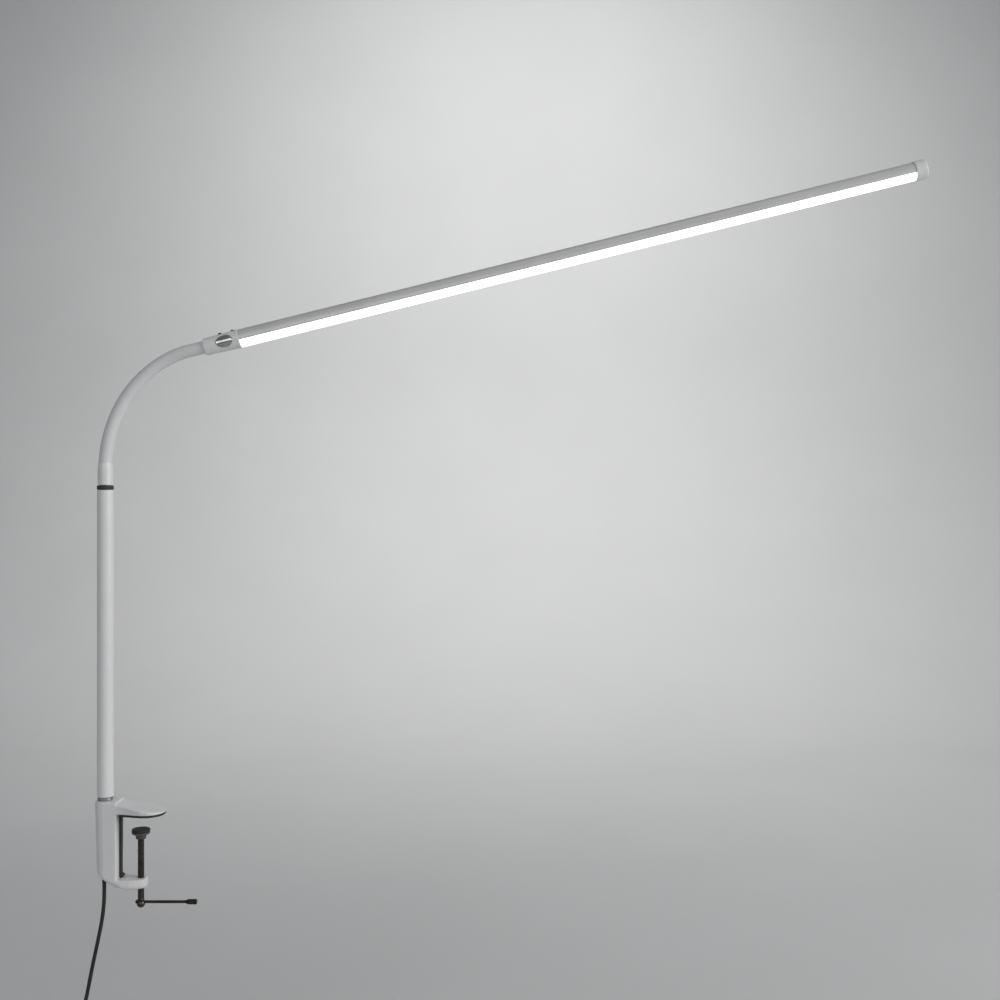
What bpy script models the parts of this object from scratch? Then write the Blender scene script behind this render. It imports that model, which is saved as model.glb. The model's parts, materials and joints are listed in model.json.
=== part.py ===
"""Clamp-on bar lamp: desk clamp, pole, gooseneck and a long light bar, with its lead and plug-in adapter.

Frame, in metres: +Z is up, and the origin is on the desk's top face, where the clamp screw's axis meets it.
+X runs from the clamp towards the bar's far end. The touch plate faces -Y.
"""

import math

import bmesh
import bpy
from mathutils import Vector

MM = 0.001
GAP = 0.3 * MM  # clearance between two pieces that touch
SHARP_ANGLE = math.radians(35)

# Clamp frame, cast
CLAMP_TOP = 14 * MM
CLAMP_HALF_DEPTH = 13 * MM
COLUMN_OUTER_X = -44.3 * MM
COLUMN_LOW_OUTER_X = -42.2 * MM
COLUMN_INNER_X = -21 * MM
COLUMN_OUTER_RADIUS = 9 * MM
JAW_TIP_X = 24.2 * MM
JAW_TIP_TOP = 3.6 * MM
JAW_HALF_WIDTH = 18.5 * MM
JAW_TIP_RADIUS = 17.5 * MM
ARM_TOP = -63.5 * MM
ARM_BOTTOM = -73.6 * MM
EDGE_RADIUS = 1.5 * MM
PAD_THICKNESS = 1.9 * MM

# Clamp screw, pressure pad and tommy bar
DESK_THICKNESS = 15 * MM
SCREW_RADIUS = 3 * MM
SCREW_TIP_Z = -19.4 * MM
SCREW_HEAD_Z = -89.6 * MM
SCREW_HEAD_RADIUS = 4.2 * MM
TOMMY_BAR_Z = -88 * MM
TOMMY_BAR_RADIUS = 1.45 * MM
TOMMY_KNOB_RADIUS = 2.65 * MM
TOMMY_BAR_END_X = 56 * MM
PRESSURE_PAD_RADIUS = 9 * MM

# Pole
POLE_X = -35.7 * MM
POLE_RADIUS = 8 * MM
POLE_WALL = 1 * MM
POLE_BOTTOM = 17.6 * MM
POLE_TOP = 323.7 * MM
SPIGOT_BOTTOM = -18 * MM
SPIGOT_RADIUS = 4.7 * MM
LEAD_RADIUS = 1.3 * MM
BORE_RADIUS = 2.2 * MM
FERRULE_BOTTOM = 328.5 * MM
FERRULE_TOP = 350.6 * MM
FERRULE_RADIUS = 7.3 * MM

# Gooseneck: its curve leaves the pole's axis upright and tightens evenly towards the head
NECK_BOTTOM = 343 * MM
NECK_LENGTH = 160.5 * MM
NECK_TURN = math.radians(76.1)
NECK_TIGHTENING = 0.17
NECK_LINKS = 12
NECK_END_LENGTH = 9 * MM  # from each end of the curve to the nearest joint
NECK_CORE_RADIUS = 6.2 * MM
BALL_RADIUS = 4.85 * MM
CUP_RADIUS = 5.25 * MM
CUP_MOUTH = 0.9 * MM  # the cup's rim, above its ball's centre
SHOULDER = 2.9 * MM  # the next link's shoulder, above the same centre
ROUND_LINK = 14

# Head, along its own X from the last neck joint
HEAD_FERRULE_X = 9 * MM
HEAD_FERRULE_RADIUS = 7.2 * MM
SOCKET_X = 22 * MM
SOCKET_LENGTH = 36.3 * MM
SOCKET_START_RADIUS = 8.6 * MM
SOCKET_END_RADIUS = 9.4 * MM
SOCKET_LIP_RADIUS = 9.7 * MM
SOCKET_BORE = 7.6 * MM
TOUCH_PLATE_X = SOCKET_X + 21.6 * MM
TOUCH_PLATE_HALF_LENGTH = 8.4 * MM
TOUCH_PLATE_HALF_HEIGHT = 6.2 * MM
TOUCH_PLATE_RADIUS = 9.4 * MM
TOUCH_PLATE_THICKNESS = 0.8 * MM
SOCKET_SCREW_X = (SOCKET_X + 17.6 * MM, SOCKET_X + 30.4 * MM)
SOCKET_SCREW_SEAT = 8.6 * MM
BAR_X = SOCKET_X + SOCKET_LENGTH
BAR_LENGTH = 693.5 * MM
BAR_RADIUS = 9.1 * MM
BAR_WALL = 1.2 * MM
SPLIT_ANGLE = math.radians(-16)  # where the housing's lips meet the diffuser
END_CAP_LENGTH = 11.8 * MM
END_CAP_RADIUS = 9.8 * MM
LED_PITCH = 18 * MM

# Lead and adapter
CORD_RADIUS = 1.9 * MM
CORD_EXIT = Vector((-35.1, -5, -67.8)) * MM
COIL_TURN_RADIUS = 22.8 * MM
COIL_CENTRE = Vector((-59, -8, -231)) * MM
COIL_RADIAL = 5.9 * MM  # half the wound bundle's depth, along the coil's radius
COIL_AXIAL = 7.8 * MM  # and half its width, along the coil's axis
ADAPTER_TOP = -292 * MM
ADAPTER_SIZE = Vector((24, 36, 56)) * MM
ADAPTER_WALL = 2 * MM

# Colour, roughness, metallic
WHITE_PAINT = ((0.80, 0.79, 0.79), 0.35, 0.0)
WHITE_PLASTIC = ((0.78, 0.77, 0.77), 0.45, 0.0)
SATIN_ALUMINIUM = ((0.72, 0.71, 0.71), 0.40, 0.6)
OPAL = ((0.95, 0.95, 0.93), 0.50, 0.0)
CHROME = ((0.85, 0.85, 0.86), 0.08, 1.0)
STEEL = ((0.45, 0.43, 0.41), 0.30, 1.0)
DARK_STEEL = ((0.10, 0.09, 0.085), 0.35, 0.9)
BRASS = ((0.75, 0.60, 0.30), 0.30, 1.0)
BLACK_RUBBER = ((0.03, 0.03, 0.03), 0.75, 0.0)
BLACK_PLASTIC = ((0.025, 0.025, 0.027), 0.50, 0.0)
NATURAL_NYLON = ((0.75, 0.73, 0.68), 0.50, 0.0)
CIRCUIT_BOARD = ((0.05, 0.22, 0.12), 0.45, 0.0)
LED_BOARD = ((0.85, 0.85, 0.83), 0.45, 0.0)


def remove_everything():
    """Empties the scene."""
    for item in list(bpy.data.objects):
        bpy.data.objects.remove(item)


def material(name, finish):
    """A Principled material from a (colour, roughness, metallic) finish."""
    colour, roughness, metallic = finish
    made = bpy.data.materials.new(name)
    made.use_nodes = True
    shader = made.node_tree.nodes["Principled BSDF"]
    shader.inputs["Base Color"].default_value = (*colour, 1)
    shader.inputs["Roughness"].default_value = roughness
    shader.inputs["Metallic"].default_value = metallic
    return made


def empty(name, location, parent=None, turn_y=0.0):
    """A guide on a joint's axis; turn_y turns it about its parent's Y."""
    guide = bpy.data.objects.new(name, None)
    bpy.context.scene.collection.objects.link(guide)
    guide.parent = parent
    guide.location = location
    guide.rotation_euler = (0, turn_y, 0)
    return guide


def add(name, data, finish, parent=None, location=(0, 0, 0)):
    """A named sub-part with its own material."""
    piece = bpy.data.objects.new(name, data)
    bpy.context.scene.collection.objects.link(piece)
    piece.parent = parent
    piece.location = location
    if finish is not None:
        piece.data.materials.append(material(name, finish))
    return piece


def closed_mesh(name, points, faces):
    """A mesh with its faces pointing out, smooth apart from its sharp edges."""
    data = bpy.data.meshes.new(name)
    data.from_pydata([tuple(p) for p in points], [], faces)
    shape = bmesh.new()
    shape.from_mesh(data)
    bmesh.ops.recalc_face_normals(shape, faces=shape.faces)
    shape.to_mesh(data)
    shape.free()
    data.shade_smooth()
    data.set_sharp_from_angle(angle=SHARP_ANGLE)
    return data


def loft(name, rings):
    """Joins rings that have the same number of points, and closes both ends."""
    count = len(rings[0])
    points = [point for ring in rings for point in ring]
    faces = [list(range(count)), list(range(len(points) - count, len(points)))]
    for row in range(len(rings) - 1):
        for column in range(count):
            after = (column + 1) % count
            low, high = row * count, (row + 1) * count
            faces.append([low + column, low + after, high + after, high + column])
    return closed_mesh(name, points, faces)


def lathe(name, outline, segments=24, axis="Z"):
    """Turns an outline of (radius, height) points about an axis; a radius of 0 closes it there."""
    points, rings = [], []
    for radius, height in outline:
        ring = []
        for step in range(1 if radius == 0 else segments):
            angle = math.tau * step / segments
            across, side = radius * math.cos(angle), radius * math.sin(angle)
            ring.append(len(points))
            points.append(
                {
                    "Z": (across, side, height),
                    "X": (height, across, side),
                    "Y": (across, height, side),
                }[axis]
            )
        rings.append(ring)
    faces = []
    for near, far in zip(rings, rings[1:] + rings[:1]):
        if len(near) == 1 and len(far) == 1:
            continue
        for step in range(segments):
            after = (step + 1) % segments
            corners = [near[step % len(near)], near[after % len(near)]]
            corners += [far[after % len(far)], far[step % len(far)]]
            faces.append(list(dict.fromkeys(corners)))
    return closed_mesh(name, points, faces)


def prism(name, outline, start, end, axis="X"):
    """Extrudes an outline along X or Z. Its points are (y, z) along X and (x, y) along Z."""
    rings = []
    for place in (start, end):
        along_x = [(place, a, b) for a, b in outline]
        rings.append(along_x if axis == "X" else [(a, b, place) for a, b in outline])
    return loft(name, rings)


def box(name, low, high):
    """A plain block between two corners."""
    outline = [(low[1], low[2]), (high[1], low[2]), (high[1], high[2]), (low[1], high[2])]
    return prism(name, outline, low[0], high[0])


def arc(centre, radius, start, end, steps):
    """Points on an arc in a plane, from angle start to angle end."""
    turn = (end - start) / steps
    angles = [start + turn * step for step in range(steps + 1)]
    return [
        (centre[0] + radius * math.cos(a), centre[1] + radius * math.sin(a)) for a in angles
    ]


def rounded_rectangle(low, high, radii, steps=3):
    """A rectangle's outline; radii are for the corners low-low, high-low, high-high and low-high."""
    corners = [(low[0], low[1]), (high[0], low[1]), (high[0], high[1]), (low[0], high[1])]
    inward = [(1, 1), (-1, 1), (-1, -1), (1, -1)]
    outline = []
    for index, (corner, way, radius) in enumerate(zip(corners, inward, radii)):
        centre = (corner[0] + way[0] * radius, corner[1] + way[1] * radius)
        start = math.pi + index * math.pi / 2
        outline += arc(centre, radius, start, start + math.pi / 2, steps)
    return outline


def section(inner, outer, half_width, outer_radius, inner_radius):
    """A rounded rectangle that spans from an inner to an outer point (x, z) and both ways in Y."""
    start = Vector((inner[0], 0, inner[1]))
    across = Vector((outer[0], 0, outer[1])) - start
    depth = across.length
    radii = [inner_radius, outer_radius, outer_radius, inner_radius]
    outline = rounded_rectangle((0, -half_width), (depth, half_width), radii, steps=4)
    way = across / depth
    return [start + way * along + Vector((0, side, 0)) for along, side in outline]


def tube(name, points, radius, finish, parent=None):
    """A round tube with filled ends along a list of points."""
    data = bpy.data.curves.new(name, "CURVE")
    data.dimensions = "3D"
    data.bevel_depth = radius
    data.bevel_resolution = 2
    data.use_fill_caps = True
    line = data.splines.new("POLY")
    line.points.add(len(points) - 1)
    for point, place in zip(line.points, points):
        point.co = (*place, 1)
    return add(name, data, finish, parent)


def smooth_route(places, spacing):
    """Points at an even spacing on a Catmull-Rom curve through the given places."""
    places = [Vector(p) for p in places]
    ends = [2 * places[0] - places[1], *places, 2 * places[-1] - places[-2]]
    dense = []
    for index in range(len(places) - 1):
        before, start, end, after = ends[index : index + 4]
        for step in range(40):
            t = step / 40
            dense.append(
                0.5
                * (
                    2 * start
                    + (end - before) * t
                    + (2 * before - 5 * start + 4 * end - after) * t**2
                    + (3 * start - before - 3 * end + after) * t**3
                )
            )
    dense.append(places[-1])
    length = sum((b - a).length for a, b in zip(dense, dense[1:]))
    pieces = max(2, round(length / spacing))
    route, gone, target = [dense[0]], 0.0, length / pieces
    for a, b in zip(dense, dense[1:]):
        step = (b - a).length
        while gone + step >= target and len(route) < pieces:
            route.append(a.lerp(b, (target - gone) / step))
            target += length / pieces
        gone += step
    return [*route, dense[-1]]


def cut(piece, cutter_data, operation="DIFFERENCE", parent=None):
    """Cuts a shape out of a piece, or joins it on, with a hidden tool object."""
    number = len(piece.modifiers) + 1
    tool = add(f"{piece.name}_tool_{number}", cutter_data, None, parent)
    tool.hide_render = True
    tool.display_type = "WIRE"
    step = piece.modifiers.new(f"{operation.lower()}_{number}", "BOOLEAN")
    step.operation = operation
    step.solver = "EXACT"
    step.object = tool
    return tool


def rod(name, radius, start, end, segments=20):
    """A plain round bar between any two points."""
    start, end = Vector(start), Vector(end)
    turn = Vector((0, 0, 1)).rotation_difference(end - start)
    rings = []
    for place in (start, end):
        circle = arc((0, 0), radius, 0, math.tau, segments)[:-1]
        rings.append([place + turn @ Vector((x, y, 0)) for x, y in circle])
    return loft(name, rings)


# ---------------------------------------------------------------- clamp


def jaw_top(x):
    """Height of the jaw's upper face, which falls from the column's top to the thin tip."""
    root = -28 * MM
    share = max(0.0, (x - root) / (JAW_TIP_X - root))
    return CLAMP_TOP - (CLAMP_TOP - JAW_TIP_TOP) * share**0.85


def jaw_half_width(x):
    """The jaw flares from the column's depth, and its tip has round corners."""
    share = min(1.0, max(0.0, (x - COLUMN_INNER_X) / (30 * MM)))
    flare = share * share * (3 - 2 * share)
    width = CLAMP_HALF_DEPTH + (JAW_HALF_WIDTH - CLAMP_HALF_DEPTH) * flare
    past = max(0.0, x - (JAW_TIP_X - JAW_TIP_RADIUS))
    return width - JAW_TIP_RADIUS + math.sqrt(max(0.0, JAW_TIP_RADIUS**2 - past**2))


def jaw_stations():
    """Places along the jaw, from its tip to inside the column, close together round the tip."""
    centre = JAW_TIP_X - JAW_TIP_RADIUS
    tip = [centre + JAW_TIP_RADIUS * math.sin(math.radians(a)) for a in (90, 80, 69, 57, 44, 31, 16)]
    return tip + [x * MM for x in (4, -2, -8, -14, -19, -24)]


def clamp_column_sections():
    """Sections from the flat top down the column, round the lower corner and out to the arm's end."""
    rings = []
    for inset, z in ((1.2, 14.0), (0.35, 13.6), (0.0, 12.7), (0.0, 2.0), (0.0, -20.0), (0.0, -42.0)):
        share = (CLAMP_TOP - z * MM) / (CLAMP_TOP + 55 * MM)
        outer = COLUMN_OUTER_X + (COLUMN_LOW_OUTER_X - COLUMN_OUTER_X) * share + inset * MM
        rings.append(
            section(
                (COLUMN_INNER_X - inset * MM, z * MM),
                (outer, z * MM),
                CLAMP_HALF_DEPTH - inset * MM,
                COLUMN_OUTER_RADIUS - inset * MM,
                EDGE_RADIUS,
            )
        )
    corner_radius = 0.6 * MM
    inner = arc(
        (COLUMN_INNER_X + corner_radius, ARM_TOP + corner_radius),
        corner_radius,
        math.pi,
        1.5 * math.pi,
        6,
    )
    outer = [(-42.3, -53), (-41.3, -57.6), (-38.6, -61.2), (-34, -64.8), (-28, -68.3), (-21.5, -71.5), (-14, -73.3)]
    for step, (inside, outside) in enumerate(zip(inner, outer)):
        radius = COLUMN_OUTER_RADIUS + (5 * MM - COLUMN_OUTER_RADIUS) * step / 6
        rings.append(
            section(inside, (outside[0] * MM, outside[1] * MM), CLAMP_HALF_DEPTH, radius, EDGE_RADIUS)
        )
    arm = [(-9, -73.7, 12.2), (-3, -73.7, 10.8), (2, -73.5, 8.8), (4.4, -73.1, 7.6), (5.4, -72.2, 6.6)]
    for x, bottom, width in arm:
        rings.append(
            section((x * MM, ARM_TOP), (x * MM, bottom * MM), width * MM, 4.5 * MM, EDGE_RADIUS)
        )
    return rings


def build_clamp():
    """The cast frame, its pads, the pole's bush and brake screw, and the lead's strain relief."""
    frame = add("clamp_frame", loft("clamp_frame", clamp_column_sections()), WHITE_PAINT)
    jaw = []
    under = PAD_THICKNESS + GAP
    for place in jaw_stations():
        top = jaw_top(place)
        edge = min(2 * MM, 0.45 * (top - under))
        jaw.append(section((place, under), (place, top), jaw_half_width(place), edge, 0.4 * MM))
    cut(frame, loft("jaw_shape", jaw), "UNION")
    pole_bore = SPIGOT_RADIUS + 1.6 * MM
    cut(frame, rod("bush_bore", pole_bore, (POLE_X, 0, SPIGOT_BOTTOM - GAP), (POLE_X, 0, CLAMP_TOP + MM)))
    wire_way = Vector((POLE_X, 0, SPIGOT_BOTTOM + MM))
    relief_top = CORD_EXIT + Vector((0, 0, 24 * MM))
    cut(frame, rod("lead_bore", 2.6 * MM, wire_way, relief_top + Vector((0, 0, -MM))))
    cut(frame, rod("relief_bore", 2.6 * MM, CORD_EXIT - Vector((0, 0, 8 * MM)), relief_top + Vector((0, 0, MM))))
    cut(frame, rod("screw_hole", SCREW_RADIUS + GAP, (0, 0, ARM_BOTTOM - 5 * MM), (0, 0, ARM_TOP + 5 * MM), 24))
    brake_z = 3 * MM
    cut(frame, rod("brake_hole", 2.2 * MM, (POLE_X, 5.5 * MM, brake_z), (POLE_X, 15 * MM, brake_z), 16))

    build_pads()
    bush = [(5.0, -17.7), (6.0, -17.7), (6.0, 13.7), (5.0, 13.7)]
    bush_data = lathe("swivel_bush", [(r * MM, z * MM) for r, z in bush])
    add("swivel_bush", bush_data, NATURAL_NYLON, location=(POLE_X, 0, 0))
    brake = [(0, 6.3), (1.5, 6.3), (1.9, 6.8), (1.9, 11.9), (1.7, 12.2), (0.95, 12.2), (0.95, 10.0), (0, 10.0)]
    brake_data = lathe("pole_brake_screw", [(r * MM, y * MM) for r, y in brake], 12, axis="Y")
    add("pole_brake_screw", brake_data, DARK_STEEL, location=(POLE_X, 0, brake_z))
    relief = [(0, 24), (2.3, 24), (2.3, 7), (2.05, 0.3), (0, 0.3)]
    relief_data = lathe("strain_relief", [(r * MM, z * MM) for r, z in relief], 16)
    add("strain_relief", relief_data, BLACK_RUBBER, location=CORD_EXIT)


def build_pads():
    """The rubber pad under the jaw and the one on the throat's upright face."""
    inset = 0.3 * MM
    stations = [x for x in jaw_stations() if x > -18 * MM] + [-18.4 * MM]
    edge = [(x, jaw_half_width(x) - inset) for x in stations]
    edge[0] = (JAW_TIP_X - inset, edge[0][1])
    outline = edge + [(x, -y) for x, y in reversed(edge)]
    add("jaw_pad", prism("jaw_pad", outline, 0, PAD_THICKNESS, axis="Z"), BLACK_RUBBER)
    half_width = 3.2 * MM
    front = COLUMN_INNER_X + GAP
    foot = section((front, -63 * MM), (front + 3.4 * MM, -62.6 * MM), half_width, 0.6 * MM, 0.2 * MM)
    rings = [foot]
    for z, thickness in ((-60.6, 4.2), (-59.0, 1.7), (-0.4, 1.7)):
        rings.append(
            section((front, z * MM), (front + thickness * MM, z * MM), half_width, 0.6 * MM, 0.2 * MM)
        )
    add("back_pad", loft("back_pad", rings), BLACK_RUBBER)


def build_screw():
    """The pressure pad, the clamp screw that turns in it and the sliding tommy bar."""
    feed = empty("screw_feed_axis", (0, 0, 0))
    top = -DESK_THICKNESS
    rubber = [(0, 0), (8.4, 0), (9, -0.6), (9, -2), (0, -2)]
    rubber_data = lathe("pressure_rubber", [(r * MM, top + z * MM) for r, z in rubber], 28)
    add("pressure_rubber", rubber_data, BLACK_RUBBER, feed)
    cup = [(0, -2.3), (8.6, -2.3), (9, -2.7), (9, -4), (8.2, -5), (5.4, -5.6), (5, -9.5), (3.4, -9.5), (3.4, -4.1), (0, -4.1)]
    cup_data = lathe("pressure_disc", [(r * MM, top + z * MM) for r, z in cup], 28)
    add("pressure_disc", cup_data, STEEL, feed)

    turn = empty("screw_turn_axis", (0, 0, 0), feed)
    tip = [(0, SCREW_TIP_Z), (2.4 * MM, SCREW_TIP_Z), (SCREW_RADIUS, SCREW_TIP_Z - 0.8 * MM)]
    neck = [(SCREW_RADIUS, -84.5 * MM), (3.7 * MM, -85.6 * MM)]
    ball = arc((0, SCREW_HEAD_Z), SCREW_HEAD_RADIUS, math.radians(50), math.radians(-90), 7)
    outline = tip + neck + ball[:-1] + [(0, SCREW_HEAD_Z - SCREW_HEAD_RADIUS)]
    screw = add("clamp_screw", lathe("clamp_screw", outline, 24), STEEL, turn)
    hole = rod("bar_hole", TOMMY_BAR_RADIUS + GAP, (-8 * MM, 0, TOMMY_BAR_Z), (8 * MM, 0, TOMMY_BAR_Z), 16)
    cut(screw, hole, parent=turn)

    slide = empty("tommy_bar_axis", (0, 0, TOMMY_BAR_Z), turn)
    thin, thick = TOMMY_BAR_RADIUS, TOMMY_KNOB_RADIUS
    knob = TOMMY_BAR_END_X - 9.3 * MM
    bar = [(0, -3.9 * MM), (thin, -3.9 * MM), (thin, knob - 2 * MM), (thick, knob + 0.6 * MM)]
    bar += [(thick, TOMMY_BAR_END_X - 0.7 * MM), (thick - 0.7 * MM, TOMMY_BAR_END_X), (0, TOMMY_BAR_END_X)]
    add("tommy_bar", lathe("tommy_bar", bar, 16, axis="X"), DARK_STEEL, slide)
    cap = [(0, -5.3), (1.4, -5.3), (1.8, -4.9), (1.8, -4.5), (1.6, -4.2), (0, -4.2)]
    cap_data = lathe("tommy_bar_cap", [(r * MM, x * MM) for r, x in cap], 16, axis="X")
    add("tommy_bar_cap", cap_data, DARK_STEEL, slide)


# ---------------------------------------------------------------- pole


def build_pole():
    """The pole on its swivel spigot, with its foot ring, top ring, ferrule and the lead inside it."""
    swivel = empty("pole_swivel_axis", (POLE_X, 0, 0))
    ring = [(5, 14.3), (7.3, 14.3), (7.6, 14.7), (7.6, 16.9), (7.3, 17.3), (5, 17.3)]
    add("foot_ring", lathe("foot_ring", [(r * MM, z * MM) for r, z in ring], 32), CHROME, swivel)
    inner = POLE_RADIUS - POLE_WALL
    spigot = [
        (BORE_RADIUS, SPIGOT_BOTTOM),
        (SPIGOT_RADIUS, SPIGOT_BOTTOM),
        (SPIGOT_RADIUS, POLE_BOTTOM),
        (inner - GAP, POLE_BOTTOM),
        (inner - GAP, 42 * MM),
        (BORE_RADIUS, 42 * MM),
    ]
    add("pole_spigot", lathe("pole_spigot", spigot), STEEL, swivel)
    wall = [
        (inner, POLE_BOTTOM),
        (POLE_RADIUS - 0.3 * MM, POLE_BOTTOM),
        (POLE_RADIUS, POLE_BOTTOM + 0.3 * MM),
        (POLE_RADIUS, POLE_TOP - 0.3 * MM),
        (POLE_RADIUS - 0.3 * MM, POLE_TOP),
        (inner, POLE_TOP),
    ]
    add("pole_tube", lathe("pole_tube", wall, 32), WHITE_PAINT, swivel)
    plug = [(5.3 * MM, 296 * MM), (inner - GAP, 296 * MM), (inner - GAP, 323.5 * MM), (5.3 * MM, 323.5 * MM)]
    add("pole_plug", lathe("pole_plug", plug), STEEL, swivel)
    seal = [(5.3, 324), (7.7, 324), (8.1, 324.4), (8.1, 327.8), (7.7, 328.2), (5.3, 328.2)]
    add("pole_ring", lathe("pole_ring", [(r * MM, z * MM) for r, z in seal], 32), BLACK_RUBBER, swivel)
    shell = [
        (5.3 * MM, FERRULE_BOTTOM),
        (FERRULE_RADIUS - 0.4 * MM, FERRULE_BOTTOM),
        (FERRULE_RADIUS, FERRULE_BOTTOM + 0.4 * MM),
        (FERRULE_RADIUS, 344.7 * MM),
        (6.75 * MM, FERRULE_TOP),
        (6.5 * MM, FERRULE_TOP),
        (6.5 * MM, 338.7 * MM),
        (5.3 * MM, 338.7 * MM),
    ]
    add("lower_ferrule", lathe("lower_ferrule", shell, 32), WHITE_PAINT, swivel)
    lead = [(0, 0, SPIGOT_BOTTOM - 4 * MM), (0, 0, 160 * MM), (0, 0, NECK_BOTTOM + NECK_END_LENGTH - 7 * MM)]
    tube("pole_lead", [Vector(p) for p in lead], LEAD_RADIUS, BLACK_PLASTIC, swivel)
    return swivel


# ---------------------------------------------------------------- gooseneck


def neck_angle(length):
    """The neck's lean from upright at a length along it."""
    share = length / NECK_LENGTH
    return NECK_TURN * (share + NECK_TIGHTENING * (share * share - share))


def neck_place(length):
    """The point (x, z) on the neck's curve at a length along it."""
    steps = 120
    x, z = POLE_X, NECK_BOTTOM
    for step in range(steps):
        lean = neck_angle(length * (step + 0.5) / steps)
        x += math.sin(lean) * length / steps
        z += math.cos(lean) * length / steps
    return Vector((x, 0, z))


def ball_outline(centre):
    """A link's ball, from its bore's lower edge up to the neck under its shoulder."""
    start = math.asin(BORE_RADIUS / BALL_RADIUS)
    end = math.acos(-2.3 * MM / BALL_RADIUS)
    angles = [start + (end - start) * step / 5 for step in range(6)]
    return [(BALL_RADIUS * math.sin(a), centre - BALL_RADIUS * math.cos(a)) for a in angles]


def cup_outline(centre):
    """The inside of a link's cup, from its rim down to the bore."""
    start = math.acos(-CUP_MOUTH / CUP_RADIUS)
    end = math.asin((BORE_RADIUS + 0.2 * MM) / CUP_RADIUS)
    angles = [start + (end - start) * step / 5 for step in range(6)]
    return [(CUP_RADIUS * math.sin(a), centre - CUP_RADIUS * math.cos(a)) for a in angles]


def build_neck(pole):
    """A chain of ball-and-cup links along the curve. Returns the guide of its last joint."""
    reach = NECK_LENGTH - 2 * NECK_END_LENGTH
    joints = [
        neck_place(NECK_END_LENGTH + reach * index / NECK_LINKS)
        for index in range(NECK_LINKS + 1)
    ]
    stud = [
        (BORE_RADIUS, 300 * MM),
        (5 * MM, 300 * MM),
        (5 * MM, 339 * MM),
        (NECK_CORE_RADIUS, 339 * MM),
        (NECK_CORE_RADIUS, joints[0].z + CUP_MOUTH),
    ]
    add("neck_stud", lathe("neck_stud", stud + cup_outline(joints[0].z), 20), STEEL, pole)
    guide, lean, place = pole, 0.0, Vector((0, 0, joints[0].z))
    for index in range(NECK_LINKS):
        step = joints[index + 1] - joints[index]
        next_lean = math.atan2(step.x, step.z)
        guide = empty(f"neck_joint_{index:02d}", place, guide, next_lean - lean)
        place, lean = Vector((0, 0, step.length)), next_lean
        core = [
            (NECK_CORE_RADIUS, SHOULDER),
            (NECK_CORE_RADIUS, step.length + CUP_MOUTH),
        ]
        outline = ball_outline(0) + core + cup_outline(step.length)
        name = f"neck_link_{index + 1:02d}"
        add(name, lathe(name, outline, ROUND_LINK), STEEL, guide)
    return empty(f"neck_joint_{NECK_LINKS:02d}", place, guide, NECK_TURN - lean - math.pi / 2)


# ---------------------------------------------------------------- head


def touch_plate_patch(name, grow, inner_radius, outer_radius):
    """An oval patch of a cylinder's wall on the -Y side, grown all round by grow."""
    length = TOUCH_PLATE_HALF_LENGTH + grow
    height = TOUCH_PLATE_HALF_HEIGHT + grow
    around, rows = 28, 4
    points, faces = [], []
    for radius in (inner_radius, outer_radius):
        points.append((TOUCH_PLATE_X, -radius, 0))
        for row in range(1, rows + 1):
            for step in range(around):
                turn = math.tau * step / around
                up = height * row / rows * math.sin(turn) / TOUCH_PLATE_RADIUS
                lift = math.asin(up)
                along = TOUCH_PLATE_X + length * row / rows * math.cos(turn)
                points.append((along, -radius * math.cos(lift), radius * math.sin(lift)))
    layer = 1 + rows * around
    for base in (0, layer):
        for step in range(around):
            after = (step + 1) % around
            faces.append([base, base + 1 + step, base + 1 + after])
            for row in range(rows - 1):
                low = base + 1 + row * around
                high = low + around
                faces.append([low + step, low + after, high + after, high + step])
    rim = 1 + (rows - 1) * around
    for step in range(around):
        after = (step + 1) % around
        faces.append([rim + step, rim + after, layer + rim + after, layer + rim + step])
    return closed_mesh(name, points, faces)


def half_disc(radius, flat_z, steps=10):
    """The outline (y, z) of a disc's part above a flat."""
    start = math.asin(flat_z / radius)
    return arc((0, 0), radius, start, math.pi - start, steps)


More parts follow.
